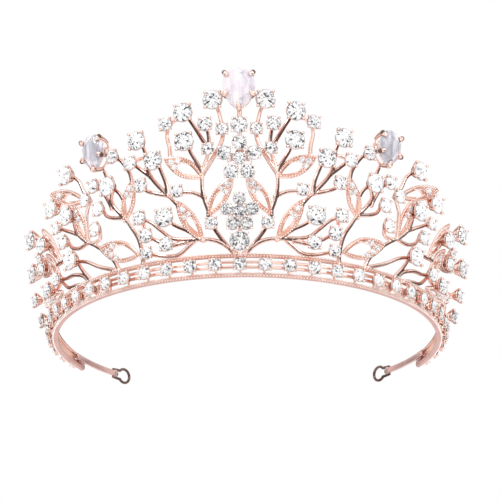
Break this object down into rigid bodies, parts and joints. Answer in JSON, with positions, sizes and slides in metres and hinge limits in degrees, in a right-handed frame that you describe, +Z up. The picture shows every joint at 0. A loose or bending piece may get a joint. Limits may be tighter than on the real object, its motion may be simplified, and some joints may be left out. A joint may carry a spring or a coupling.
{
  "type": "tiara",
  "caption": "Ring-shaped bridal tiara: a stone-set band under a tall flared fan of branches, open leaves and claw-set round and pear-cut stones, with end arms that finish in hairpin loops.",
  "frame": {"origin": "centre of the band's ring, in the plane of the band's lower face, on which the tiara stands", "axes": "+Z up, the direction in which the fan rises; -Y towards the front, where the tallest point is; +X to the right as seen from the front; the shape is the same on both sides of the YZ plane"},
  "size_m": [0.1654, 0.1389, 0.0686],
  "materials": {
    "rose_gold": "bright polished rose gold plating with beaded edges",
    "satin_rose_gold": "satin rose gold plating, softly brushed",
    "clear_crystal": "clear faceted stone, silvered at the back",
    "milky_crystal": "milky lavender faceted stone"
  },
  "bodies": {
    "root": {"bottom_rail": "satin_rose_gold", "top_rail": "rose_gold", "band_web": "rose_gold", "band_cups": "rose_gold", "band_stones": "clear_crystal", "left_arm": "satin_rose_gold", "right_arm": "satin_rose_gold", "left_pin_loop": "rose_gold", "right_pin_loop": "rose_gold", "crown_pear_stone": "milky_crystal", "crown_pear_setting": "rose_gold", "upper_flower_cups": "rose_gold", "upper_flower_stones": "clear_crystal", "lower_flower_cups": "rose_gold", "lower_flower_stones": "clear_crystal", "left_inner_branch": "rose_gold", "right_inner_branch": "rose_gold", "left_inner_cups": "rose_gold", "right_inner_cups": "rose_gold", "left_inner_stones": "clear_crystal", "right_inner_stones": "clear_crystal", "left_low_branch": "rose_gold", "right_low_branch": "rose_gold", "left_low_cups": "rose_gold", "right_low_cups": "rose_gold", "left_low_stones": "clear_crystal", "right_low_stones": "clear_crystal", "left_fan_branch": "rose_gold", "right_fan_branch": "rose_gold", "left_fan_cups": "rose_gold", "right_fan_cups": "rose_gold", "left_fan_stones": "clear_crystal", "right_fan_stones": "clear_crystal", "left_middle_branch": "rose_gold", "right_middle_branch": "rose_gold", "left_middle_cups": "rose_gold", "right_middle_cups": "rose_gold", "left_middle_stones": "clear_crystal", "right_middle_stones": "clear_crystal", "left_side_branch": "rose_gold", "right_side_branch": "rose_gold", "left_side_cups": "rose_gold", "right_side_cups": "rose_gold", "left_side_stones": "clear_crystal", "right_side_stones": "clear_crystal", "left_rear_branch": "rose_gold", "right_rear_branch": "rose_gold", "left_rear_cups": "rose_gold", "right_rear_cups": "rose_gold", "left_rear_stones": "clear_crystal", "right_rear_stones": "clear_crystal", "left_pear_setting": "rose_gold", "right_pear_setting": "rose_gold", "left_pear_stone": "milky_crystal", "right_pear_stone": "milky_crystal"}
  },
  "joints": []
}
